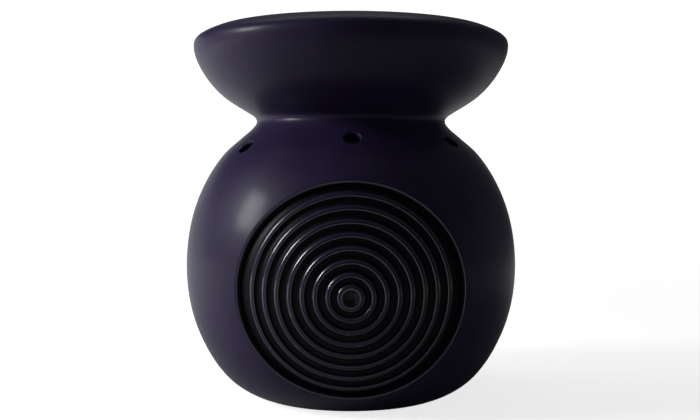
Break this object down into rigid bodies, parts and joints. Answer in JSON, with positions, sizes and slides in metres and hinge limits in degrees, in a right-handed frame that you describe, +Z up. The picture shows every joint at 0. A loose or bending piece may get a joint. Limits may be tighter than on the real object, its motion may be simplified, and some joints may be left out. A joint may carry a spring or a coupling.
{
  "type": "essential oil burner",
  "caption": "Round ceramic tealight burner with a rippled disc on its front, a door in its back, vent holes round its shoulder and an oil bowl on its neck",
  "frame": {"origin": "centre of the foot ring, on the surface that the burner stands on", "axes": "+Z up, along the axis of the chamber and the bowl; the rippled disc faces -Y and the tealight door faces +Y"},
  "size_m": [0.11, 0.1081, 0.1215],
  "materials": {
    "black_glaze": "satin black glaze with a faint violet cast",
    "cup_aluminium": "thin drawn foil, bright",
    "candle_wax": "white paraffin wax, slightly translucent",
    "tinplate": "thin stamped tinplate",
    "wick_cotton": "braided cotton, waxed"
  },
  "bodies": {
    "burner": {"burner_body": "black_glaze", "oil_bowl": "black_glaze"},
    "tealight": {"tealight_cup": "cup_aluminium", "tealight_wax": "candle_wax", "wick_sustainer": "tinplate", "wick": "wick_cotton"}
  },
  "joints": [
    {"name": "tealight_slide", "type": "slide", "parent": "burner", "child": "tealight", "axis": [0, 1, 0], "range_m": [0, 0.09]}
  ]
}
